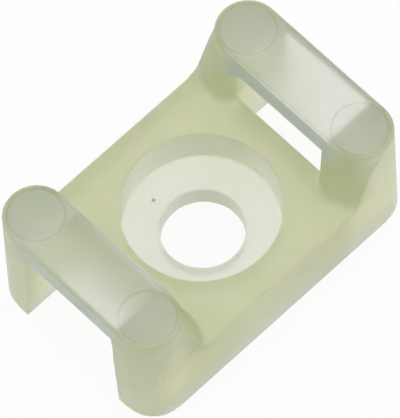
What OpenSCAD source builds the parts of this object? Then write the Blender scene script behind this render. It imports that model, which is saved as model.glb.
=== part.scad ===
// Saddle-type cable tie mount, one moulding in natural nylon.
// A screw holds it down through the counterbored hole in the plate. The ties lie
// along X over the plate and pass out under the two bridges. The cable bundle
// rests across the tops of both bridges.
// Units are millimetres. The origin is the middle of the foot, on the face that
// meets the panel. X runs along the mount, Y along the bridges, Z up.

/* [Overall] */
// Length of the foot, over both bridges
length = 18; // [17:0.1:26]
// Width of the foot, along the bridges
width = 11.4; // [11:0.1:18]
// Height from the panel to the top of the bridges
height = 7.6; // [7:0.1:9]
// Draft of the outer walls, in degrees
draft = 0.75; // [0.25:0.05:1.5]

/* [Plate] */
// Thickness of the plate that the ties lie on
plate_t = 3.8; // [3.2:0.1:4.2]
// Round along the upper edges of the plate
plate_edge_r = 0.2; // [0.1:0.05:0.4]

/* [Bridges] */
// Width of a bridge across its top, which also rounds its ends
bridge_w = 3.36; // [3.1:0.02:3.7]
// Thickness of a bridge over the tie
bridge_t = 1.5; // [1.1:0.1:1.9]
// Round along the top edges of a bridge
bridge_edge_r = 0.15; // [0.1:0.05:0.35]
// Round along the outer lower edge of a bridge, where the tie bends upwards
tie_edge_r = 0.25; // [0.1:0.05:0.5]
// Clear width of the tie opening, just under the bridge
opening_w = 5.96; // [5:0.02:6.4]
// Draft of the side walls of the tie openings, in degrees
opening_draft = 2.1; // [0.5:0.1:3]

/* [Posts] */
// Slope of a post on its inner side, from upright, in degrees
flare_angle = 18; // [8:1:20]
// How far below the top the slope starts
flare_drop = 0.65; // [0.5:0.05:1]
// Fillet where the slope runs out on the plate
foot_fillet_r = 0.5; // [0.1:0.05:0.6]

/* [Screw hole] */
// Diameter of the screw hole, a clearance fit for an M4 or No. 8 screw
bore_d = 4.3; // [3.4:0.1:4.8]
// Diameter of the counterbore for the screw head
cbore_d = 8.1; // [7:0.1:8.6]
// Thickness of the floor that the screw head bears on
floor_t = 1.4; // [1:0.1:2]
// Round at the rims of the counterbore and of the hole
rim_r = 0.1; // [0.05:0.05:0.15]

/* [Ejector marks] */
// Diameter of the four ejector marks on the bridges
mark_d = 2.86; // [1.5:0.02:2.86]
// Depth of the ejector marks
mark_depth = 0.04; // [0.02:0.01:0.1]

/* [Hidden] */
$fn = 96;
eps = 0.01;
arc_steps = 8;

// Walls lean in by this much for each millimetre of height
lean = tan(draft);
opening_lean = tan(opening_draft);
top_r = bridge_w / 2;
foot_r = top_r + height * lean;

// Axis of each corner post: the centre of its rounded corner and of its mark
post_x = length / 2 - foot_r;
post_y = width / 2 - foot_r;

// The inner face of a bridge and the end of the plate share one plane, where the
// two halves of the mould shut against each other
end_x = post_x - top_r;
bridge_z = height - bridge_t;
flare_z = height - flare_drop;

// Beside a tie opening the slope of a post rounds off about a leaning cone. Its tip
// is at the top of the slope, on the side wall of the opening. It keeps to that wall
// on one side and is tangent to the slope on the other.
tip_y = opening_w / 2 - (flare_z - bridge_z) * opening_lean;
cone_angle = atan(sin(flare_angle) * cos(opening_draft)
                  / (1 + sin(flare_angle) * sin(opening_draft)));
cone_tilt = cone_angle + opening_draft;
// How far the line where the cone meets the slope runs outwards per millimetre down
tangent_lean = tan(cone_tilt) / pow(cos(flare_angle), 2);

// Points of a quarter round of radius r about [cx, cy], from angle a0 to a1
function arc(cx, cy, r, a0, a1) =
    [for (i = [0:arc_steps])
        let (a = a0 + (a1 - a0) * i / arc_steps)
        [cx + r * cos(a), cy + r * sin(a)]];

// Outline of a wall on the right of a section, from its foot up to the top. It is w
// out at the foot, leans in by slope, and is rounded by e at height h.
function wall(w, slope, h, e) =
    concat([[w, 0]], arc(w - h * slope - e, h - e, e, 0, 90));

// The same outline on the left, from the top down
function flip(points) =
    [for (i = [len(points) - 1:-1:0]) [-points[i][0], points[i][1]]];

// Lays a section out along X: its width becomes Y, centred on the origin
module along_x(len) {
    translate([-len / 2, 0, 0])
        rotate([90, 0, 90])
            linear_extrude(len)
                children();
}

// Lays a section out along Y: its width becomes X, centred on the origin
module along_y(len) {
    translate([0, len / 2, 0])
        rotate([90, 0, 0])
            linear_extrude(len)
                children();
}

// Repeats a child at both ends, and in all four corners
module both_ends() {
    children();
    mirror([1, 0, 0]) children();
}

module four_corners() {
    both_ends() {
        children();
        mirror([0, 1, 0]) children();
    }
}

// The slab between the posts, with drafted and rounded long sides
module plate() {
    side = wall(width / 2, lean, plate_t, plate_edge_r);
    along_x(2 * post_x)
        polygon(concat(side, flip(side)));
}

// Everything between the long side walls, carried up to the full height
module side_walls() {
    w = width / 2;
    t = w - height * lean;
    along_x(length)
        polygon([[-w, 0], [w, 0], [t, height], [-t, height]]);
}

// One bridge before its tie opening is cut: drafted outside, upright inside
module bridge_block() {
    outside = wall(foot_r, lean, height, bridge_edge_r);
    inside = wall(top_r, 0, height, bridge_edge_r);
    translate([post_x, 0, 0])
        along_y(2 * post_y)
            polygon(concat(outside, flip(inside)));
}

module corner_post() {
    translate([post_x, post_y, 0])
        rotate_extrude()
            polygon(concat(
                [[0, 0]],
                wall(foot_r, lean, height, bridge_edge_r),
                [[0, height]]));
}

// Section of the slope of a post, from core_r at its top out to the fillet on the
// plate. It is swung about the post and about the corner beside the tie opening.
module flare_section(core_r) {
    a = flare_angle;
    run = flare_z - plate_t - foot_fillet_r;
    fillet_x = core_r + (foot_fillet_r + run * sin(a)) / cos(a);
    polygon(concat(
        [[0, plate_t - plate_edge_r], [fillet_x, plate_t - plate_edge_r]],
        arc(fillet_x, plate_t + foot_fillet_r, foot_fillet_r, 270, 180 + a),
        [[core_r, flare_z], [0, flare_z]]));
}

// Everything on the opening's side of the line where the cone meets the slope
module opening_side() {
    reach = flare_z - plate_t;
    along_x(length)
        polygon([
            [0, flare_z],
            [tip_y, flare_z],
            [min(post_y, tip_y + reach * tangent_lean),
             flare_z - min(reach, (post_y - tip_y) / tangent_lean)],
            [post_y, plate_t - plate_edge_r],
            [0, plate_t - plate_edge_r]]);
}

// The leaning cone beside a tie opening
module corner_cone() {
    reach = 2 * (flare_z - plate_t);
    translate([end_x, tip_y, flare_z])
        rotate([cone_tilt, 0, 0])
            translate([0, 0, -reach])
                cylinder(h = reach, r1 = reach * tan(cone_angle), r2 = 0);
}

// The straight part of the slope, between the cone and the axis of the post
module straight_slope() {
    difference() {
        translate([end_x, post_y / 2, 0])
            along_y(post_y)
                mirror([1, 0])
                    flare_section(0);
        opening_side();
    }
}

// The slopes of one post: out to the side wall, and round the corner beside the
// tie opening
module flare() {
    translate([end_x, post_y, 0])
        rotate_extrude()
            flare_section(0);
    straight_slope();
    intersection() {
        corner_cone();
        opening_side();
    }
    intersection() {
        side_walls();
        translate([0, post_y, 0])
            cube([post_x, width, height]);
        translate([post_x, post_y, 0])
            rotate_extrude()
                flare_section(top_r);
    }
}

// The space for the tie under a bridge, open at the end and below. Its sides are
// drafted, and its roof turns up at the outer edge of the bridge.
module tie_opening() {
    out = length;
    start_x = end_x - eps;
    half_top = opening_w / 2;
    half_foot = half_top + bridge_z * opening_lean;
    over = tie_edge_r;
    face_x = length / 2 - bridge_z * lean;
    intersection() {
        translate([start_x + out / 2, 0, 0])
            along_x(out)
                polygon([
                    [-half_foot - opening_lean, -1],
                    [half_foot + opening_lean, -1],
                    [half_top - over * opening_lean, bridge_z + over],
                    [-half_top + over * opening_lean, bridge_z + over]]);
        along_y(width)
            polygon(concat(
                [[start_x, -1], [start_x, bridge_z]],
                arc(face_x - over, bridge_z + over, over, 270, 360),
                [[start_x + out, bridge_z + over], [start_x + out, -1]]));
    }
}

// A ring cutter that rounds the rim of a hole of radius r, whose rim is at z = 0
module rim_round(r) {
    rotate_extrude()
        translate([r, 0])
            difference() {
                translate([-rim_r, -rim_r])
                    square([2 * rim_r, 2 * rim_r]);
                translate([rim_r, -rim_r])
                    circle(rim_r);
                translate([0, -2 * rim_r])
                    square([2 * rim_r, rim_r]);
            }
}

module screw_hole() {
    translate([0, 0, -1])
        cylinder(h = floor_t + 2, d = bore_d);
    translate([0, 0, floor_t])
        cylinder(h = height, d = cbore_d);
    translate([0, 0, floor_t])
        rim_round(bore_d / 2);
    translate([0, 0, plate_t])
        rim_round(cbore_d / 2);
}

module ejector_mark() {
    translate([post_x, post_y, height - mark_depth])
        cylinder(h = 1, d = mark_d);
}

module tie_mount() {
    color("#d8dcc4")
        difference() {
            union() {
                plate();
                both_ends() bridge_block();
                four_corners() corner_post();
                four_corners() flare();
            }
            both_ends() tie_opening();
            screw_hole();
            four_corners() ejector_mark();
        }
}

tie_mount();
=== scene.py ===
import math

import bpy
from mathutils import Matrix, Vector


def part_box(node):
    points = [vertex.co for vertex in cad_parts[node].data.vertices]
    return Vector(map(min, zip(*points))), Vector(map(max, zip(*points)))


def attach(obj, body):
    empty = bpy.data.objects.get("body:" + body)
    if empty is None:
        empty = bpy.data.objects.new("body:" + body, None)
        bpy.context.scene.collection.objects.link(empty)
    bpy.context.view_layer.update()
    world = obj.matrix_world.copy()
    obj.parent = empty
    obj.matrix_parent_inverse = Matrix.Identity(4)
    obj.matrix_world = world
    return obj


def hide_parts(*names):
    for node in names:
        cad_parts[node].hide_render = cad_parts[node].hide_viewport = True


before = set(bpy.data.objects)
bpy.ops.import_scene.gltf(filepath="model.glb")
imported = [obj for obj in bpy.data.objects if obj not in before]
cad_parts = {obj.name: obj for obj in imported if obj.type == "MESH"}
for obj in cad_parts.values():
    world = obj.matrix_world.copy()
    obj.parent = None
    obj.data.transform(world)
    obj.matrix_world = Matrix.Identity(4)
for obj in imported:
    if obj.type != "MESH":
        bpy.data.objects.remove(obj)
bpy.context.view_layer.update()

MM = 0.001

NODE = "tie_mount"
low, high = (Vector(corner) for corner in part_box(NODE))
FOOT_Z = low.z

# ---------------------------------------------------------------- camera
# A long lens, well above the mount. VIEW_WIDTH is what the picture spans at the aim,
# which is off the mount's axis by AIM_LEFT and AIM_UP in the picture's plane.
AZIMUTH = math.radians(-130.485)
ELEVATION = math.radians(63.3)
ROLL = math.radians(-4.18)
DISTANCE = 328.4 * MM
SENSOR = 36.0
VIEW_WIDTH = 19.7531 * MM
AIM_HEIGHT = 2.963 * MM
AIM_LEFT = 0.0770 * MM
AIM_UP = 0.2519 * MM

toward = Vector((math.cos(ELEVATION) * math.cos(AZIMUTH),
                 math.cos(ELEVATION) * math.sin(AZIMUTH),
                 math.sin(ELEVATION)))
level = Vector((0, 0, 1)).cross(toward).normalized()
upright = toward.cross(level)
right = level * math.cos(ROLL) + upright * math.sin(ROLL)
up = upright * math.cos(ROLL) - level * math.sin(ROLL)
aim = Vector((0, 0, FOOT_Z + AIM_HEIGHT)) - right * AIM_LEFT + up * AIM_UP

lens = bpy.data.cameras.new("camera")
lens.sensor_fit = "HORIZONTAL"
lens.sensor_width = SENSOR
lens.lens = SENSOR * DISTANCE / VIEW_WIDTH
lens.clip_start = 0.01
lens.clip_end = 10
camera = bpy.data.objects.new("camera", lens)
camera.matrix_world = Matrix.Translation(aim + toward * DISTANCE) @ Matrix(
    (right, up, toward)).transposed().to_4x4()
bpy.context.scene.collection.objects.link(camera)
bpy.context.scene.camera = camera

# ---------------------------------------------------------------- nylon
# Natural nylon is cloudy, not opaque. Light enters through a satin skin, scatters
# inside and yellows with depth. The scattering alone doesn't set thick parts apart
# from thin ones as strongly as the real mount does, so the skin's tint adds to it,
# region by region, as painted light on thin parts and painted shade on thick ones.
# region by region.

# The part's own sizes, which place the regions in its box
POST_R = 1.68 * MM
POST_DRAFT = 0.0995 * MM
MARK_R = 1.43 * MM
BRIDGE_T = 1.5 * MM
PLATE_T = 3.8 * MM
RECESS_R = 4.05 * MM
HOLE_RIM = 2.3 * MM
TOP_EDGE = 0.15 * MM
POST_X = high.x - POST_R - POST_DRAFT
POST_Y = high.y - POST_R - POST_DRAFT
END_X = POST_X - POST_R
BRIDGE_Z = high.z - BRIDGE_T

# Tints of the skin, many of them painted light and painted shade
BODY = (0.97, 0.98, 0.78)
PLATE = (0.88, 0.90, 0.56)
SLOPE_SHADE = (0.62, 0.73, 0.40)
SIDE = (1.0, 1.0, 0.68)
SIDE_FOOT_GLOW = (1.0, 1.0, 1.0)
BAR_GLOW = (1.0, 0.99, 0.99)
BAR_FACE_SHADE = (0.74, 0.89, 0.90)
BAR_INSIDE_SHADE = (0.50, 0.58, 0.60)
RECESS_WALL_GLOW = (0.95, 1.0, 0.86)
HOLE_GLOW = (1.0, 1.0, 1.0)
RECESS_GLOW = (1.0, 1.0, 0.92)
MARK_AND_SHEEN = (0.83, 0.90, 0.90)
# Dark witness lines, and the painted shade of the bridges' rounded edges
LINE_AND_EDGE_SHADE = (0.42, 0.48, 0.44)
CLOUD_DIM = (0.95, 0.965, 0.91)
CLOUD_CLEAR = (1.0, 1.0, 1.0)
MOTTLE = (0.93, 0.96, 0.96)
SPECK = (0.18, 0.17, 0.15)

# How much the soft or thin tints show
NEAR_SLOPE_SHADE_SHARE = 0.4
RING_SHARE = 0.45
EDGE_SHADE_SHARE = 0.30
MOTTLE_SHARE = 0.5

# Noise scales, per metre
CLOUD_SCALE = 260.0
MOTTLE_SCALE = 1900.0
GRAIN_SCALE = 9000.0

# The scattering inside, with its density per metre
ALBEDO = (0.980, 0.984, 0.922)
DENSITY = 300.0
ANISOTROPY = 0.6
NYLON_IOR = 1.53
ROUGHNESS = (0.30, 0.46)
BUMP_STRENGTH = 0.25
BUMP_HEIGHT = 0.01 * MM

SPECK_PLACE = (-0.63 * MM, 2.85 * MM, 1.40 * MM)

nylon = bpy.data.materials.new("natural_nylon")
nylon.use_nodes = True
tree = nylon.node_tree
tree.nodes.clear()


def node(kind, **settings):
    """A new node of the nylon, with its settings."""
    made = tree.nodes.new(kind)
    for key, value in settings.items():
        setattr(made, key, value)
    return made


def link(source, target):
    tree.links.new(source, target)


def feed(socket, value):
    """Gives a socket a link, a number or a colour."""
    if isinstance(value, (int, float)):
        socket.default_value = value
    elif isinstance(value, tuple):
        socket.default_value = (*value, 1)
    else:
        link(value, socket)


def math_node(operation, *values):
    """The output of a Math node on sockets or numbers."""
    made = node("ShaderNodeMath", operation=operation)
    for socket, value in zip(made.inputs, values):
        feed(socket, value)
    return made.outputs[0]


def ramp(value, start, stop):
    """0 below start and 1 above stop, with a smooth step between."""
    made = node("ShaderNodeMapRange", interpolation_type="SMOOTHSTEP")
    link(value, made.inputs["Value"])
    made.inputs["From Min"].default_value = start
    made.inputs["From Max"].default_value = stop
    return made.outputs["Result"]


def both(*masks):
    """Where all of the masks are 1."""
    result = masks[0]
    for other in masks[1:]:
        result = math_node("MULTIPLY", result, other)
    return result


def opposite(mask):
    return math_node("SUBTRACT", 1.0, mask)


def fading(value, start, stop):
    """1 below start and 0 above stop."""
    return opposite(ramp(value, start, stop))


def apart(a, b):
    """How far a is from b, either way."""
    return math_node("ABSOLUTE", math_node("SUBTRACT", a, b))


def length_of(a, b):
    """Length of the vector (a, b)."""
    return math_node("SQRT", math_node("ADD", math_node("POWER", a, 2.0),
                                       math_node("POWER", b, 2.0)))


def mixed(fac, a, b, blend="MIX"):
    """A colour between a and b, each a socket or a colour."""
    made = node("ShaderNodeMix", data_type="RGBA", blend_type=blend)
    feed(made.inputs[0], fac)
    feed(made.inputs[6], a)
    feed(made.inputs[7], b)
    return made.outputs[2]


def noise(scale, detail, roughness):
    """Noise fixed to the object."""
    made = node("ShaderNodeTexNoise")
    link(place, made.inputs["Vector"])
    made.inputs["Scale"].default_value = scale
    made.inputs["Detail"].default_value = detail
    made.inputs["Roughness"].default_value = roughness
    return made.outputs[0]


place = node("ShaderNodeTexCoord").outputs["Object"]
split = node("ShaderNodeSeparateXYZ")
link(place, split.inputs[0])
px, py, pz = split.outputs
ax, ay = math_node("ABSOLUTE", px), math_node("ABSOLUTE", py)
facing = node("ShaderNodeSeparateXYZ")
link(node("ShaderNodeNewGeometry").outputs["Normal"], facing.inputs[0])
ny, nz = facing.outputs[1], facing.outputs[2]

# Faint clouds, a finer mottle and a fine grain
clouds = noise(CLOUD_SCALE, 3.0, 0.55)
mottle = noise(MOTTLE_SCALE, 3.0, 0.6)
grain = noise(GRAIN_SCALE, 2.0, 0.5)

up_face = ramp(nz, 0.6, 0.9)
side_face = ramp(math_node("ABSOLUTE", ny), 0.7, 0.95)
upright_face = fading(math_node("ABSOLUTE", nz), 0.3, 0.7)
from_axis = length_of(math_node("SUBTRACT", ax, POST_X),
                      math_node("SUBTRACT", ay, POST_Y))
from_middle = length_of(px, py)

# Painted light: the long sides get paler towards the foot, next to the glowing floor
side = mixed(ramp(pz, low.z + 0.1 * MM, low.z + 1.8 * MM), SIDE_FOOT_GLOW, SIDE)
tint = mixed(both(side_face, fading(pz, PLATE_T, PLATE_T + 2.0 * MM)), BODY, side)

# The top of the plate
tint = mixed(both(up_face, ramp(pz, PLATE_T - 0.4 * MM, PLATE_T - 0.1 * MM),
                  fading(pz, PLATE_T + 1.5 * MM, PLATE_T + 2.5 * MM)),
             tint, PLATE)

# Painted shade: the slopes of the posts are the thickest part, and are tinted darker
tint = mixed(both(fading(ax, END_X - 0.1 * MM, END_X + 1.3 * MM),
                  ramp(pz, PLATE_T - 0.1 * MM, PLATE_T + 0.8 * MM)),
             tint, SLOPE_SHADE)

# Painted shade: the plate darkens softly towards the foot of each slope
near_slope_shade = both(fading(from_axis, 2.4 * MM, 4.6 * MM),
                  fading(ax, END_X, END_X + 0.2 * MM),
                  fading(pz, PLATE_T + 0.2 * MM, PLATE_T + 0.8 * MM),
                  ramp(pz, PLATE_T - 0.3 * MM, PLATE_T - 0.1 * MM))
tint = mixed(both(near_slope_shade, NEAR_SLOPE_SHADE_SHARE), tint, SLOPE_SHADE)

# Painted light: the screw recess and the hole are the palest, for the light coming up
# through the thin floor
upright_recess_glow = mixed(ramp(from_middle, HOLE_RIM, HOLE_RIM + 0.2 * MM),
                       HOLE_GLOW, RECESS_WALL_GLOW)
tint = mixed(both(fading(from_middle, RECESS_R + 0.02 * MM, RECESS_R + 0.12 * MM),
                  fading(pz, PLATE_T - 0.35 * MM, PLATE_T - 0.02 * MM)),
             tint, mixed(up_face, upright_recess_glow, RECESS_GLOW))

# Painted light and shade: the thin bridges are tinted pale for the light through
# them, and their upright faces get a cool painted shade, darkest on the faces turned
# inwards
bar = both(ramp(pz, BRIDGE_Z - 0.1 * MM, BRIDGE_Z + 0.1 * MM),
           fading(ay, 2.9 * MM, 4.6 * MM))
inside = fading(ax, END_X + 0.1 * MM, END_X + 0.3 * MM)
tint = mixed(bar, tint, BAR_GLOW)
tint = mixed(both(bar, upright_face), tint, mixed(inside, BAR_FACE_SHADE, BAR_INSIDE_SHADE))

# Ejector marks, each with a thin witness line. The grey-blue of the marks is partly
# their own tone and partly a painted sheen of the light from above; it is left out
# over the tie opening, so it is also painted shade of the solid post beneath.
on_top = both(ramp(pz, high.z - 0.15 * MM, high.z - 0.1 * MM), ramp(nz, 0.2, 0.5))
tint = mixed(both(on_top, fading(from_axis, MARK_R - 0.1 * MM, MARK_R),
                  ramp(ay, 2.6 * MM, 3.4 * MM)), tint, MARK_AND_SHEEN)
ring = both(on_top, fading(apart(from_axis, MARK_R), 0.015 * MM, 0.08 * MM))
tint = mixed(both(ring, RING_SHARE), tint, LINE_AND_EDGE_SHADE)

# Painted shade: a dark line along a bridge where its rounded edge begins
edge_place = POST_R - TOP_EDGE
edge = both(on_top,
            fading(apart(apart(ax, POST_X), edge_place), 0.02 * MM, 0.09 * MM),
            fading(ay, POST_Y - 0.8 * MM, POST_Y))
tint = mixed(both(edge, EDGE_SHADE_SHARE), tint, LINE_AND_EDGE_SHADE)

# Clouds and mottle: a few hundredths lighter, darker, warmer or cooler
cloud = mixed(ramp(clouds, 0.35, 0.65), CLOUD_DIM, CLOUD_CLEAR)
cloud = mixed(both(ramp(mottle, 0.45, 0.7), MOTTLE_SHARE), cloud, MOTTLE)
tint = mixed(1.0, tint, cloud, "MULTIPLY")

# One tiny dark speck in the floor of the recess
from_speck = node("ShaderNodeVectorMath", operation="DISTANCE")
link(place, from_speck.inputs[0])
from_speck.inputs[1].default_value = SPECK_PLACE
tint = mixed(fading(from_speck.outputs["Value"], 0.04 * MM, 0.15 * MM), tint, SPECK)

bsdf = node("ShaderNodeBsdfPrincipled")
out = node("ShaderNodeOutputMaterial")
link(bsdf.outputs["BSDF"], out.inputs["Surface"])
link(tint, bsdf.inputs["Base Color"])
bsdf.inputs["IOR"].default_value = NYLON_IOR
bsdf.inputs["Transmission Weight"].default_value = 1.0

rough = node("ShaderNodeMapRange")
link(mottle, rough.inputs["Value"])
rough.inputs["To Min"].default_value, rough.inputs["To Max"].default_value = ROUGHNESS
link(rough.outputs[0], bsdf.inputs["Roughness"])

bump = node("ShaderNodeBump")
bump.inputs["Strength"].default_value = BUMP_STRENGTH
bump.inputs["Distance"].default_value = BUMP_HEIGHT
link(math_node("ADD", grain, mottle), bump.inputs["Height"])
link(bump.outputs[0], bsdf.inputs["Normal"])

body = node("ShaderNodeVolumePrincipled")
body.inputs["Color"].default_value = (*ALBEDO, 1)
body.inputs["Density"].default_value = DENSITY
body.inputs["Anisotropy"].default_value = ANISOTROPY
link(body.outputs[0], out.inputs["Volume"])

# ---------------------------------------------------------------- moulding
# The moulding with every edge slightly rounded, as a mould leaves it. It is worked
# in millimetres, because a voxel of this size is too small for Blender in metres.
VOXEL = 0.06
SMOOTHING = 0.5
ROUNDING_STEPS = 3
KEPT_FACES = 0.35


def rounded_copy(source, name):
    """A copy of source with soft edges."""
    mesh = source.data.copy()
    mesh.transform(Matrix.Scale(1 / MM, 4))
    draft = bpy.data.objects.new(name, mesh)
    bpy.context.scene.collection.objects.link(draft)
    remesh = draft.modifiers.new("remesh", "REMESH")
    remesh.mode = "VOXEL"
    remesh.voxel_size = VOXEL
    smooth = draft.modifiers.new("smooth", "SMOOTH")
    smooth.factor = SMOOTHING
    smooth.iterations = ROUNDING_STEPS
    decimate = draft.modifiers.new("decimate", "DECIMATE")
    decimate.ratio = KEPT_FACES
    graph = bpy.context.evaluated_depsgraph_get()
    soft = bpy.data.meshes.new_from_object(draft.evaluated_get(graph))
    bpy.data.objects.remove(draft)
    bpy.data.meshes.remove(mesh)
    soft.transform(Matrix.Scale(MM, 4))
    soft.name = name
    soft.polygons.foreach_set("use_smooth", [True] * len(soft.polygons))
    soft.materials.clear()
    soft.update()
    return soft


body_mesh = rounded_copy(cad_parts[NODE], "moulding")
body_mesh.materials.append(nylon)
moulding = bpy.data.objects.new("moulding", body_mesh)
bpy.context.scene.collection.objects.link(moulding)
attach(moulding, "root")
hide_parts(NODE)

# ---------------------------------------------------------------- floor
# A white sheet that keeps some of the mount's shadow. Seen straight, in gloss or
# through the nylon it is mostly a white glow.
FLOOR_HALF = 0.6
FLOOR_GAP = 0.02 * MM
FLOOR_GLOW = 0.9
FLOOR_WHITE = (0.95, 0.95, 0.95, 1)

floor_mesh = bpy.data.meshes.new("floor")
floor_mesh.from_pydata(
    [(-FLOOR_HALF, -FLOOR_HALF, 0), (FLOOR_HALF, -FLOOR_HALF, 0),
     (FLOOR_HALF, FLOOR_HALF, 0), (-FLOOR_HALF, FLOOR_HALF, 0)], [],
    [(0, 1, 2, 3)])
floor = bpy.data.objects.new("floor", floor_mesh)
floor.location.z = FOOT_Z - FLOOR_GAP
bpy.context.scene.collection.objects.link(floor)

paper = bpy.data.materials.new("floor")
paper.use_nodes = True
paper_nodes, paper_links = paper.node_tree.nodes, paper.node_tree.links
paper_nodes.clear()
diffuse = paper_nodes.new("ShaderNodeBsdfDiffuse")
diffuse.inputs["Color"].default_value = FLOOR_WHITE
glow = paper_nodes.new("ShaderNodeEmission")
glow.inputs["Strength"].default_value = 1.0
path = paper_nodes.new("ShaderNodeLightPath")
seen = path.outputs["Is Camera Ray"]
for other in ("Is Glossy Ray", "Is Transmission Ray"):
    either = paper_nodes.new("ShaderNodeMath")
    either.operation = "MAXIMUM"
    paper_links.new(seen, either.inputs[0])
    paper_links.new(path.outputs[other], either.inputs[1])
    seen = either.outputs[0]
share = paper_nodes.new("ShaderNodeMath")
share.operation = "MULTIPLY"
share.inputs[1].default_value = FLOOR_GLOW
paper_links.new(seen, share.inputs[0])
sheet = paper_nodes.new("ShaderNodeMixShader")
paper_links.new(share.outputs[0], sheet.inputs["Fac"])
paper_links.new(diffuse.outputs[0], sheet.inputs[1])
paper_links.new(glow.outputs[0], sheet.inputs[2])
paper_out = paper_nodes.new("ShaderNodeOutputMaterial")
paper_links.new(sheet.outputs[0], paper_out.inputs["Surface"])
floor_mesh.materials.append(paper)

# ---------------------------------------------------------------- light
world = bpy.data.worlds.new("world")
bpy.context.scene.world = world
world.use_nodes = True
sky = world.node_tree.nodes["Background"]
sky.inputs["Color"].default_value = (1, 1, 1, 1)
sky.inputs["Strength"].default_value = 1.0

bpy.context.scene.view_settings.view_transform = "Standard"

# Light bounces many times inside cloudy nylon before it leaves
INNER_BOUNCES = 80
cycles = bpy.context.scene.cycles
cycles.max_bounces = 2 * INNER_BOUNCES
cycles.volume_bounces = INNER_BOUNCES
cycles.transmission_bounces = INNER_BOUNCES
cycles.glossy_bounces = INNER_BOUNCES
